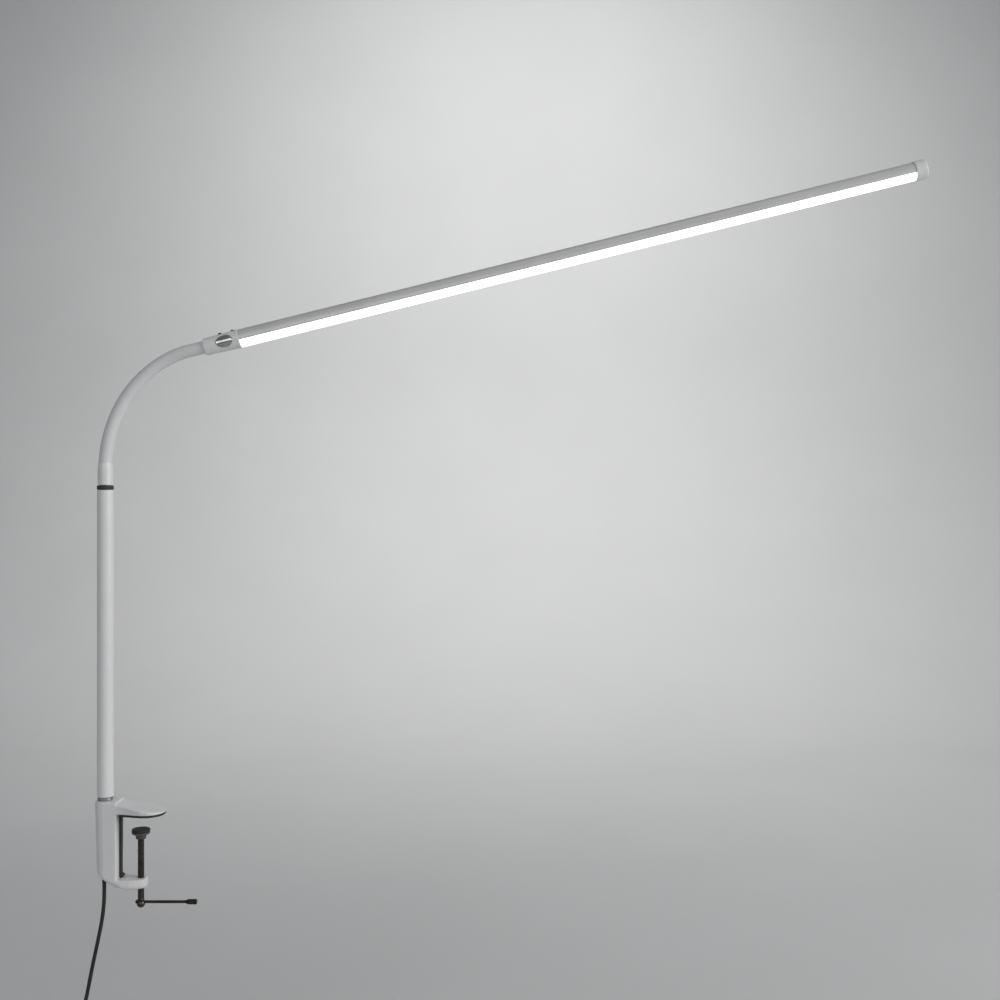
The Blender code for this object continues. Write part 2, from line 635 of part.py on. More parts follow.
def build_socket(head):
    """The neck's end fitting, its ferrule and the round socket with the touch switch."""
    stud_end = SOCKET_X + 20 * MM
    fitting = ball_outline(0) + [
        (NECK_CORE_RADIUS, SHOULDER),
        (NECK_CORE_RADIUS, SOCKET_X - GAP),
        (5 * MM, SOCKET_X - GAP),
        (5 * MM, stud_end),
        (BORE_RADIUS, stud_end),
    ]
    add("neck_end_fitting", lathe("neck_end_fitting", fitting, 20, axis="X"), STEEL, head)
    shell = [
        (6.5 * MM, HEAD_FERRULE_X),
        (6.75 * MM, HEAD_FERRULE_X),
        (HEAD_FERRULE_RADIUS, HEAD_FERRULE_X + 1.2 * MM),
        (HEAD_FERRULE_RADIUS, SOCKET_X - GAP),
        (6.5 * MM, SOCKET_X - GAP),
    ]
    add("upper_ferrule", lathe("upper_ferrule", shell, 32, axis="X"), WHITE_PAINT, head)

    lip = SOCKET_X + SOCKET_LENGTH - 2.6 * MM
    outline = [
        (5.3 * MM, SOCKET_X),
        (SOCKET_START_RADIUS - 0.5 * MM, SOCKET_X),
        (SOCKET_START_RADIUS, SOCKET_X + 0.5 * MM),
        (SOCKET_END_RADIUS, lip - 0.3 * MM),
        (SOCKET_LIP_RADIUS, lip),
        (SOCKET_LIP_RADIUS, BAR_X - 0.3 * MM),
        (SOCKET_LIP_RADIUS - 0.3 * MM, BAR_X),
        (SOCKET_BORE, BAR_X),
        (SOCKET_BORE, SOCKET_X + 8 * MM),
        (5.3 * MM, SOCKET_X + 8 * MM),
    ]
    socket = add("head_socket", lathe("head_socket", outline, 40, axis="X"), WHITE_PAINT, head)
    pocket = TOUCH_PLATE_RADIUS - TOUCH_PLATE_THICKNESS - GAP
    cut(socket, touch_plate_patch("plate_pocket", GAP, pocket, 11 * MM), parent=head)
    contact_x = SOCKET_X + 16.5 * MM
    cut(socket, rod("contact_hole", 1.3 * MM, (contact_x, -10 * MM, 0), (contact_x, -7 * MM, 0), 12), parent=head)
    for x in SOCKET_SCREW_X:
        cut(socket, rod("screw_way", 1.5 * MM, (x, 0, 6 * MM), (x, 0, 12 * MM), 16), parent=head)
        cut(socket, rod("screw_seat", 2.3 * MM, (x, 0, SOCKET_SCREW_SEAT), (x, 0, 12 * MM), 16), parent=head)

    plate = touch_plate_patch(
        "touch_plate", 0, TOUCH_PLATE_RADIUS - TOUCH_PLATE_THICKNESS, TOUCH_PLATE_RADIUS
    )
    add("touch_plate", plate, CHROME, head)
    contact = rod("touch_contact", 0.9 * MM, (contact_x, -8.2 * MM, 0), (contact_x, -7.1 * MM, 0), 12)
    add("touch_contact", contact, BRASS, head)
    low = (SOCKET_X + 9 * MM, -6.8 * MM, -3.1 * MM)
    high = (SOCKET_X + 21 * MM, -6.0 * MM, 3.1 * MM)
    add("touch_board", box("touch_board", low, high), CIRCUIT_BOARD, head)
    build_socket_screws(head)


def build_socket_screws(head):
    """Two round-headed screws on top: one bears on the neck's stud, the other on the bar's plug."""
    for name, x, reach in zip(("neck_lock_screw", "bar_lock_screw"), SOCKET_SCREW_X, (5.3, 7.6)):
        seat = SOCKET_SCREW_SEAT + GAP
        outline = [
            (0, reach * MM),
            (1.2 * MM, reach * MM),
            (1.2 * MM, seat),
            (2 * MM, seat),
            (2 * MM, seat + 0.7 * MM),
            (1.4 * MM, seat + 1.3 * MM),
            (0.7 * MM, seat + 1.4 * MM),
            (0.7 * MM, seat + 0.7 * MM),
            (0, seat + 0.7 * MM),
        ]
        add(name, lathe(name, outline, 16), DARK_STEEL, head, (x, 0, 0))


def housing_outline():
    """The extruded housing's outline (y, z): a shell over the top with slots for the LED board."""
    wall = BAR_RADIUS - BAR_WALL
    outer = arc((0, 0), BAR_RADIUS, SPLIT_ANGLE, math.pi - SPLIT_ANGLE, 26)
    right = [
        (wall * math.cos(SPLIT_ANGLE), wall * math.sin(SPLIT_ANGLE)),
        (wall * math.cos(math.radians(-8.7)), -1.2 * MM),
        (5.2 * MM, -1.2 * MM),
        (5.2 * MM, -0.6 * MM),
        (wall * math.cos(math.radians(-4.3)), -0.6 * MM),
        (wall * math.cos(math.radians(7.3)), 1.0 * MM),
        (5.2 * MM, 1.0 * MM),
        (5.2 * MM, 1.6 * MM),
    ]
    inner = arc((0, 0), wall, math.radians(11.8), math.radians(168.2), 18)
    return outer + [(-y, z) for y, z in right] + inner[::-1] + right[::-1]


def diffuser_outline():
    """The opal cover's outline (y, z): the lower arc, with a tongue behind each housing lip."""
    wall = BAR_RADIUS - BAR_WALL
    edge = SPLIT_ANGLE - GAP / BAR_RADIUS
    tongue = [
        (wall * math.cos(edge) - 0.05 * MM, wall * math.sin(edge)),
        (7.25 * MM, -1.9 * MM),
        (6.5 * MM, -1.9 * MM),
        (6.5 * MM, -4.0 * MM),
    ]
    outer = arc((0, 0), BAR_RADIUS, edge, -math.pi - edge, 20)
    inner = arc((0, 0), wall, -math.pi + math.radians(32), math.radians(-32), 14)
    left = [(-y, z) for y, z in tongue]
    return outer + left + inner + tongue[::-1]


def led_board_mesh():
    """A long board whose lower face carries a row of raised LED chips."""
    start, end = BAR_X + MM, BAR_X + BAR_LENGTH - MM
    top, under, chip_drop = 0.7 * MM, -0.3 * MM, 0.7 * MM
    half_width, chip_half_width, chip_half_length = 7.4 * MM, 1.4 * MM, 1.75 * MM
    count = int((end - start) / LED_PITCH)
    first = (start + end - (count - 1) * LED_PITCH) / 2
    shape = bmesh.new()
    stops = [start]
    for index in range(count):
        centre = first + index * LED_PITCH
        stops += [centre - chip_half_length, centre + chip_half_length]
    stops.append(end)
    sides = (-half_width, -chip_half_width, chip_half_width, half_width)
    grid = [[shape.verts.new((x, y, under)) for y in sides] for x in stops]
    chips = []
    for row in range(len(stops) - 1):
        for column in range(3):
            corners = [grid[row][column], grid[row][column + 1]]
            corners += [grid[row + 1][column + 1], grid[row + 1][column]]
            face = shape.faces.new(corners)
            if column == 1 and row % 2 == 1:
                chips.append(face)
    lid = [shape.verts.new((x, y, top)) for x in (start, end) for y in (-half_width, half_width)]
    shape.faces.new([lid[0], lid[1], lid[3], lid[2]])
    shape.faces.new([lid[0], lid[2]] + [row[0] for row in reversed(grid)])
    shape.faces.new([lid[1], lid[3]] + [row[3] for row in reversed(grid)])
    shape.faces.new([lid[0], lid[1]] + list(reversed(grid[0])))
    shape.faces.new([lid[2], lid[3]] + list(reversed(grid[-1])))
    raised = bmesh.ops.extrude_discrete_faces(shape, faces=chips)["faces"]
    for face in raised:
        bmesh.ops.translate(shape, verts=face.verts, vec=(0, 0, -chip_drop))
    bmesh.ops.recalc_face_normals(shape, faces=shape.faces)
    data = bpy.data.meshes.new("led_board")
    shape.to_mesh(data)
    shape.free()
    return data


def build_bar(head):
    """The light bar: housing, diffuser, LED board, the plug that joins it to the socket, end cap and lead."""
    start, end = BAR_X + GAP, BAR_X + BAR_LENGTH
    add("bar_housing", prism("bar_housing", housing_outline(), start, end), SATIN_ALUMINIUM, head)
    add("diffuser", prism("diffuser", diffuser_outline(), start, end), OPAL, head)
    add("led_board", led_board_mesh(), LED_BOARD, head)

    core = [
        (2 * MM, SOCKET_X + 22 * MM),
        (SOCKET_BORE - GAP, SOCKET_X + 22 * MM),
        (SOCKET_BORE - GAP, BAR_X),
        (2 * MM, BAR_X),
    ]
    plug = add("bar_plug", lathe("bar_plug", core, 28, axis="X"), BLACK_PLASTIC, head)
    tongue = half_disc(7.5 * MM, 2.2 * MM)
    cut(plug, prism("plug_tongue", tongue, BAR_X - 4 * MM, BAR_X + 14 * MM), "UNION", head)

    cap_start, cap_end = end + GAP, end + GAP + END_CAP_LENGTH
    cap_outline = [
        (0, cap_start),
        (END_CAP_RADIUS - 0.4 * MM, cap_start),
        (END_CAP_RADIUS, cap_start + 0.4 * MM),
        (END_CAP_RADIUS, cap_end - 1.2 * MM),
        (END_CAP_RADIUS - 0.4 * MM, cap_end - 0.4 * MM),
        (END_CAP_RADIUS - 1.2 * MM, cap_end),
        (0, cap_end),
    ]
    cap = add("end_cap", lathe("end_cap", cap_outline, 40, axis="X"), WHITE_PLASTIC, head)
    cut(cap, prism("cap_tongue", tongue, cap_start - 12 * MM, cap_start + 4 * MM), "UNION", head)
    lead = [(-5 * MM, 0, 0), (25 * MM, 0, 0), (BAR_X + 0.6 * MM, 0, 0)]
    tube("head_lead", [Vector(p) for p in lead], LEAD_RADIUS, BLACK_PLASTIC, head)


# ---------------------------------------------------------------- lead and adapter


def build_cord():
    """The lead from the clamp: free stretch, coil with its tie, tail and plug-in adapter."""
    coil_top = COIL_CENTRE + Vector((0, 0, COIL_TURN_RADIUS + COIL_RADIAL + GAP))
    places = [
        (-35.1, -5.0, -67.8),
        (-35.0, -5.3, -74),
        (-35.0, -6.2, -86),
        (-35.9, -7.0, -98),
        (-37.7, -7.5, -110),
        (-39.9, -8.0, -121.5),
        (-42.4, -8.0, -133.5),
        (-45.0, -8.0, -145.5),
        (-47.4, -8.0, -157.5),
        (-49.7, -8.0, -169.5),
        (-52.2, -8.0, -181.5),
        (-55.6, -8.0, -191.5),
    ]
    route = [Vector(p) * MM for p in places] + [coil_top]
    tube("cord", smooth_route(route, 4.5 * CORD_RADIUS), CORD_RADIUS, BLACK_PLASTIC)
    bundle = [
        (COIL_TURN_RADIUS + COIL_RADIAL * math.cos(a) * squareness(a), COIL_AXIAL * math.sin(a) * squareness(a))
        for a in (math.tau * (step + 0.5) / 12 for step in range(12))
    ]
    add("cord_coil", lathe("cord_coil", bundle, 36, axis="Y"), BLACK_PLASTIC, location=COIL_CENTRE)
    build_tie()

    relief_top = Vector((COIL_CENTRE.x, COIL_CENTRE.y, ADAPTER_TOP + 18 * MM))
    coil_bottom = COIL_CENTRE - Vector((0, 0, COIL_TURN_RADIUS + COIL_RADIAL + GAP))
    tail = smooth_route([coil_bottom, (coil_bottom + relief_top) / 2, relief_top], 4.5 * CORD_RADIUS)
    tube("cord_tail", tail, CORD_RADIUS, BLACK_PLASTIC)
    build_adapter(relief_top)


def squareness(angle):
    """How far a rounded square reaches past a circle at an angle."""
    return min(1.18, 1 / max(abs(math.cos(angle)), abs(math.sin(angle)))) / 1.035


def build_tie():
    """A soft tie round the coil's bundle, on its +X side."""
    inside = (COIL_RADIAL + 0.8 * MM, COIL_AXIAL + GAP)
    rings = []
    for z in (-4 * MM, 4 * MM):
        outline = rounded_rectangle(
            (-inside[0] - 1.2 * MM, -inside[1] - 1.2 * MM),
            (inside[0] + 1.2 * MM, inside[1] + 1.2 * MM),
            [3 * MM] * 4,
        )
        rings.append([(x, y, z) for x, y in outline])
    place = COIL_CENTRE + Vector((COIL_TURN_RADIUS, 0, 0))
    tie = add("coil_tie", loft("coil_tie", rings), BLACK_PLASTIC, location=place)
    hole = rounded_rectangle((-inside[0], -inside[1]), (inside[0], inside[1]), [2 * MM] * 4)
    tool = cut(tie, prism("tie_hole", hole, -6 * MM, 6 * MM, axis="Z"))
    tool.location = place


def build_adapter(relief_top):
    """A small plug-in adapter, hung by its lead: two shells, a board, two blades and a strain relief."""
    axis = Vector((relief_top.x, relief_top.y, 0))
    relief = [(0, -0.3), (2.4, -0.3), (3.4, -15), (3.4, -17.7), (0, -17.7)]
    relief_data = lathe("adapter_relief", [(r * MM, relief_top.z + z * MM) for r, z in relief], 16)
    add("adapter_relief", relief_data, BLACK_RUBBER, location=axis)

    half = ADAPTER_SIZE / 2
    low_z, high_z = ADAPTER_TOP - ADAPTER_SIZE.z, ADAPTER_TOP
    for name, way in (("adapter_back", -1), ("adapter_front", 1)):
        shell = []
        for depth, inset in ((GAP / 2, 0), (half.x - 1.5 * MM, 0), (half.x, 1.5 * MM)):
            outline = rounded_rectangle(
                (-half.y + inset, low_z + inset), (half.y - inset, high_z - inset), [4 * MM - inset] * 4
            )
            shell.append([(way * depth, y, z) for y, z in outline])
        piece = add(name, loft(name, shell), BLACK_PLASTIC, location=axis)
        room = rounded_rectangle(
            (-half.y + ADAPTER_WALL, low_z + ADAPTER_WALL), (half.y - ADAPTER_WALL, high_z - ADAPTER_WALL), [2 * MM] * 4
        )
        tool = cut(piece, prism("adapter_room", room, -way * MM, way * (half.x - ADAPTER_WALL)))
        tool.location = axis
        if way > 0:
            for side in (-1, 1):
                centre = side * 6.35 * MM
                slot = box("blade_slot", (7 * MM, centre - 1.1 * MM, -325 * MM), (15 * MM, centre + 1.1 * MM, -318.1 * MM))
                cut(piece, slot).location = axis
    for number, side in ((1, -1), (2, 1)):
        centre = side * 6.35 * MM
        outline = [(centre - 0.75 * MM, -324.7 * MM), (centre + 0.75 * MM, -324.7 * MM)]
        outline += [(centre + 0.75 * MM, -318.4 * MM), (centre - 0.75 * MM, -318.4 * MM)]
        name = f"adapter_blade_{number}"
        add(name, prism(name, outline, 8 * MM, 29 * MM), BRASS, location=axis)
    low = (-6 * MM, -13 * MM, low_z + 6 * MM)
    high = (-4.4 * MM, 13 * MM, high_z - 6 * MM)
    add("driver_board", box("driver_board", low, high), CIRCUIT_BOARD, location=axis)


remove_everything()
build_clamp()
build_screw()
pole_axis = build_pole()
head_axis = build_neck(pole_axis)
build_socket(head_axis)
build_bar(head_axis)
build_cord()
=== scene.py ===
"""Looks of the clamp-on bar lamp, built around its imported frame. Metres, +Z up."""

import json
import math

import bpy
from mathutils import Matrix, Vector

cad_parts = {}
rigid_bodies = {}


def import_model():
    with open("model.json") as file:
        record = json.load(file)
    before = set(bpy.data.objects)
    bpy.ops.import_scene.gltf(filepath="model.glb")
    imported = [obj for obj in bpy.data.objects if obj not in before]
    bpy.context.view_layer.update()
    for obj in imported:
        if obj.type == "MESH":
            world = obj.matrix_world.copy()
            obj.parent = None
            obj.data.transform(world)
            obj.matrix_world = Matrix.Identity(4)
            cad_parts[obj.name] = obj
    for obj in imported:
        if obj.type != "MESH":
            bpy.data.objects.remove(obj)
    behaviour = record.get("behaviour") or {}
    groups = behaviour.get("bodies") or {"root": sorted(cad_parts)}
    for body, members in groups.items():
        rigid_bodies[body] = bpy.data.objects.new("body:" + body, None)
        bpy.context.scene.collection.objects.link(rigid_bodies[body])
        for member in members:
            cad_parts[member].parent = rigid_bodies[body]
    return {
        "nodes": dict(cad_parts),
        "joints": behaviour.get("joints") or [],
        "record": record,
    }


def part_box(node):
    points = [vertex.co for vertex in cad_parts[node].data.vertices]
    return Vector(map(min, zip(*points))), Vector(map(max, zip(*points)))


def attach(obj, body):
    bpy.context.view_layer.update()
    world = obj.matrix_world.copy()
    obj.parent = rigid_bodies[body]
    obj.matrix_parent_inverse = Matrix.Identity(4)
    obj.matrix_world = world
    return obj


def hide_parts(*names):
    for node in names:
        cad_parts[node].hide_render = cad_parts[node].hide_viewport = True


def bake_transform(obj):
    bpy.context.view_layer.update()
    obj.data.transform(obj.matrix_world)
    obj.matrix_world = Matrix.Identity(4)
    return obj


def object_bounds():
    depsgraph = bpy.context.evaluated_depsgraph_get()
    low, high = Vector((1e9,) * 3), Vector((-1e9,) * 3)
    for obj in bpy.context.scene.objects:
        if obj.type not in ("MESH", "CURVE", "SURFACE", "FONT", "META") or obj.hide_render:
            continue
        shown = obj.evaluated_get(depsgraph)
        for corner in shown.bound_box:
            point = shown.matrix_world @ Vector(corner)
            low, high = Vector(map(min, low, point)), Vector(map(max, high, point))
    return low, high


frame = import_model()
cad_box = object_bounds()
MM = 0.001

# Camera
CAMERA_PLACE = Vector((0.359, -1.212, 0.3137))
CAMERA_LENS = 43.63  # mm, on a sensor 36 mm wide

# Stage
FLOOR_DROP = 45 * MM  # the floor below the lowest piece
FLOOR_FRONT = -3.0
BACKDROP_Y = 3.4
BACKDROP_BEND = 1.3
BACKDROP_TOP = 3.2
STAGE_HALF_WIDTH = 5.0

# Cord
CORD_DIAMETER = 3.8 * MM
CORD_ROUTE = [
    (-35.1, -5.0, -67.8),
    (-35.0, -5.3, -74),
    (-35.0, -6.2, -86),
    (-35.9, -7.0, -98),
    (-37.7, -7.5, -110),
    (-39.9, -8.0, -121.5),
    (-42.4, -8.0, -133.5),
    (-45.0, -8.0, -145.5),
    (-47.4, -8.0, -157.5),
    (-49.7, -8.0, -169.5),
    (-52.2, -8.0, -181.5),
    (-55.6, -8.0, -191.5),
]
CORD_INTO_COIL = [(-61, -11, -199.5), (-68.5, -13.7, -205)]
CORD_OUT_OF_COIL = [(-72.5, -2.3, -255.3), (-67, -2.6, -261.3), (-62, -4.8, -267.3), (-59.3, -7.2, -272)]
CORD_END = (-59, -8, -274)
COIL_FIRST_ANGLE = 135  # degrees
COIL_TURNED = 11.25 * 360
COIL_FIRST_CHANGE = 290
COIL_CHANGE = 30  # degrees that one turn takes to pass to the next place
COIL_PLACES = [(-1, 0), (-1, 0), (0, 1), (1, 0), (1, 0), (0, 1), (-1, 0), (-1, 0), (0, 1), (1, 0), (1, 0)]

# Gooseneck sleeve
SLEEVE_RADIUS = 6.4 * MM
SLEEVE_INNER_RADIUS = 6.25 * MM
SLEEVE_END = 21.6 * MM  # from the last neck joint, just short of the socket
SLEEVE_RINGS = 9
SLEEVE_SEGMENTS = 40
RIGID_SHARE = 0.05  # of a sleeve piece, in from each end, where its end places are taken
BENT_FROM_ABOVE = (7,)  # pieces reckoned from the upper link: their parent, child and end places are swapped

# Screw thread
THREAD_ROOT = 2.9 * MM
THREAD_CREST = 3.2 * MM
THREAD_PITCH = 1 * MM
THREAD_STEPS = 20

# Touch plate
PLATE_HALF_LENGTH = 8.3 * MM
PLATE_HALF_HEIGHT = 5.8 * MM
PLATE_RADIUS = 9.4 * MM
PLATE_THICKNESS = 0.75 * MM

BODY_SHARP_ANGLE = math.radians(40)


# ---------------------------------------------------------------- shapes


def piece(name, data, material, body, replaced=()):
    """A visible piece that rides on a body and may stand for CAD nodes."""
    made = bpy.data.objects.new(name, data)
    bpy.context.scene.collection.objects.link(made)
    made.data.materials.append(material)
    if body:
        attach(made, body)
    if replaced:
        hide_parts(*replaced)
    return made


def smooth_mesh(name, points, faces, sharp_angle=BODY_SHARP_ANGLE):
    """A closed mesh, smooth apart from its sharp edges."""
    data = bpy.data.meshes.new(name)
    data.from_pydata([tuple(p) for p in points], [], faces)
    data.validate()
    data.shade_smooth()
    data.set_sharp_from_angle(angle=sharp_angle)
    return data


def ring_faces(rings, around, closed):
    """Quads between rings of points; closed joins the last ring to the first."""
    faces = []
    for row in range(rings if closed else rings - 1):
        low, high = row * around, (row + 1) % rings * around
        for step in range(around):
            after = (step + 1) % around
            faces.append([low + step, low + after, high + after, high + step])
    return faces


def end_faces(count):
    """The two faces that close a bar of square rings with this many points."""
    return [[3, 2, 1, 0], [count - 4, count - 3, count - 2, count - 1]]


def swept(name, stations, sharp_angle=BODY_SHARP_ANGLE, segments=40):
    """Turns round an axis. Each station is (place on the axis, side, up, radius); rings join in a closed loop."""
    points = []
    for place, side, up, radius in stations:
        for step in range(segments):
            angle = math.tau * step / segments
            points.append(place + (side * math.cos(angle) + up * math.sin(angle)) * radius)
    return smooth_mesh(name, points, ring_faces(len(stations), segments, True), sharp_angle)


def catmull_rom(before, start, end, after, t):
    """A point between start and end on the curve through the four places."""
    return 0.5 * (
        2 * start
        + (end - before) * t
        + (2 * before - 5 * start + 4 * end - after) * t**2
        + (3 * start - before - 3 * end + after) * t**3
    )


def smooth_route(places, spacing):
    """Points at an even spacing on a smooth curve through the given places."""
    ends = [2 * places[0] - places[1], *places, 2 * places[-1] - places[-2]]
    dense = []
    for index in range(len(places) - 1):
        dense += [catmull_rom(*ends[index : index + 4], step / 12) for step in range(12)]
    dense.append(places[-1])
    length = sum((b - a).length for a, b in zip(dense, dense[1:]))
    count = round(length / spacing)
    route, gone, target = [dense[0]], 0.0, length / count
    for a, b in zip(dense, dense[1:]):
        step = (b - a).length
        while gone + step >= target and len(route) < count:
            route.append(a.lerp(b, (target - gone) / step))
            target += length / count
        gone += step
    return [*route, dense[-1]], length


def ease(share):
    """0 to 1 with a soft start and end."""
    share = min(1.0, max(0.0, share))
    return share * share * (3 - 2 * share)


# ---------------------------------------------------------------- materials


def link(tree, source, target):
    """Joins two sockets."""
    tree.links.new(source, target)


def base_material(name, roughness, metallic):
    """A material with its tree, its shader and its object coordinates."""
    made = bpy.data.materials.new(name)
    made.use_nodes = True
    tree = made.node_tree
    shader = tree.nodes["Principled BSDF"]
    shader.inputs["Roughness"].default_value = roughness
    shader.inputs["Metallic"].default_value = metallic
    coordinates = tree.nodes.new("ShaderNodeTexCoord").outputs["Object"]
    return made, tree, shader, coordinates


def mapped(tree, coordinates, stretch, lean):
    """Coordinates turned about Y by lean, then stretched."""
    turned = tree.nodes.new("ShaderNodeMapping")
    turned.inputs["Rotation"].default_value = (0, lean, 0)
    link(tree, coordinates, turned.inputs["Vector"])
    scaled = tree.nodes.new("ShaderNodeMapping")
    scaled.inputs["Scale"].default_value = stretch
    link(tree, turned.outputs["Vector"], scaled.inputs["Vector"])
    return scaled.outputs["Vector"]


def noise(tree, coordinates, scale, detail=3.0, roughness=0.5):
    """A noise's value."""
    node = tree.nodes.new("ShaderNodeTexNoise")
    node.inputs["Scale"].default_value = scale
    node.inputs["Detail"].default_value = detail
    node.inputs["Roughness"].default_value = roughness
    link(tree, coordinates, node.inputs["Vector"])
    return node.outputs["Fac"]


def ramp(tree, value, low, high, start=0.3, end=0.7):
    """Colours from low to high over a span of the value."""
    node = tree.nodes.new("ShaderNodeValToRGB")
    first, last = node.color_ramp.elements
    first.position, last.position = start, end
    first.color, last.color = (*low, 1), (*high, 1)
    link(tree, value, node.inputs["Fac"])
    return node.outputs["Color"]


def spread(tree, value, low, high, start=0.3, end=0.7):
    """Numbers from low to high over a span of the value."""
    node = tree.nodes.new("ShaderNodeMapRange")
    node.inputs["From Min"].default_value = start
    node.inputs["From Max"].default_value = end
    node.inputs["To Min"].default_value = low
    node.inputs["To Max"].default_value = high
    link(tree, value, node.inputs["Value"])
    return node.outputs["Result"]


def bump(tree, shader, value, height, before=None):
    """Raises the surface by a value."""
    node = tree.nodes.new("ShaderNodeBump")
    node.inputs["Strength"].default_value = 1.0
    node.inputs["Distance"].default_value = height
    link(tree, value, node.inputs["Height"])
    if before:
        link(tree, before, node.inputs["Normal"])
    link(tree, node.outputs["Normal"], shader.inputs["Normal"])
    return node.outputs["Normal"]


def surface(name, low, high, cloud, rough, grain, height, metallic=0.0, stretch=(1, 1, 1), lean=0.0, constants=()):
    """Clouded colour, uneven gloss and a fine grain. cloud and grain are noise scales, per metre."""
    made, tree, shader, coordinates = base_material(name, sum(rough) / 2, metallic)
    place = mapped(tree, coordinates, stretch, lean)
    link(tree, ramp(tree, noise(tree, coordinates, cloud), low, high), shader.inputs["Base Color"])
    smear = noise(tree, place, grain / 9, detail=4)
    link(tree, spread(tree, smear, *rough), shader.inputs["Roughness"])
    bump(tree, shader, noise(tree, place, grain, detail=2), height)
    for socket, value in dict(constants).items():
        shader.inputs[socket].default_value = value
    return made


def grey(value, warmth=0.0):
    """A near-neutral colour."""
    return (value * (1 + warmth), value, value * (1 - warmth))


def powder_coat(name, tone, grain, height, rough=(0.30, 0.42)):
    """White baked paint: soft clouds of tone, a fine orange peel and sparse dust specks."""
    made = surface(name, grey(tone * 0.965), grey(tone), 60, rough, grain, height,
                   constants={"Coat Weight": 0.12, "Coat Roughness": 0.2})
    tree = made.node_tree
    shader = tree.nodes["Principled BSDF"]
    coordinates = tree.nodes["Texture Coordinate"].outputs["Object"]
    paint = shader.inputs["Base Color"].links[0].from_socket
    cells = tree.nodes.new("ShaderNodeTexVoronoi")
    cells.inputs["Scale"].default_value = 330
    link(tree, coordinates, cells.inputs["Vector"])
    specks = ramp(tree, cells.outputs["Distance"], grey(0.62, 0.03), grey(1.0), 0.035, 0.07)
    mix = tree.nodes.new("ShaderNodeMix")
    mix.data_type = "RGBA"
    mix.blend_type = "MULTIPLY"
    mix.inputs[0].default_value = 0.6
    link(tree, paint, mix.inputs[6])
    link(tree, specks, mix.inputs[7])
    link(tree, mix.outputs[2], shader.inputs["Base Color"])
    return made


def opal_diffuser(lean, pitch):
    """Opal cover lit from inside: the row of LEDs shows as a faint, even beat along it."""
    made, tree, shader, coordinates = base_material("opal", 0.5, 0.0)
    place = mapped(tree, coordinates, (1, 1, 1), lean)
    shader.inputs["Base Color"].default_value = (0.95, 0.95, 0.93, 1)
    shader.inputs["Emission Strength"].default_value = 1.3
    shader.inputs["Subsurface Weight"].default_value = 0.1
    wave = tree.nodes.new("ShaderNodeTexWave")
    wave.wave_profile = "SIN"
    wave.inputs["Scale"].default_value = math.tau / (20 * pitch)
    link(tree, place, wave.inputs["Vector"])
    glow = ramp(tree, wave.outputs["Fac"], (0.95, 0.955, 0.96), (1.0, 1.0, 0.985), 0.0, 1.0)
    link(tree, glow, shader.inputs["Emission Color"])
    bump(tree, shader, noise(tree, place, 3000), 0.01 * MM)
    return made


def circuit(name, low, high):
    """Lacquered board with copper tracks under the lacquer."""
    made, tree, shader, coordinates = base_material(name, 0.4, 0.0)
    brick = tree.nodes.new("ShaderNodeTexBrick")
    brick.inputs["Scale"].default_value = 180
    brick.inputs["Color1"].default_value = (*low, 1)
    brick.inputs["Color2"].default_value = (*high, 1)
    brick.inputs["Mortar"].default_value = (*[c * 1.25 for c in high], 1)
    brick.inputs["Mortar Size"].default_value = 0.012
    link(tree, coordinates, brick.inputs["Vector"])
    link(tree, brick.outputs["Color"], shader.inputs["Base Color"])
    bump(tree, shader, brick.outputs["Fac"], 0.02 * MM)
    return made


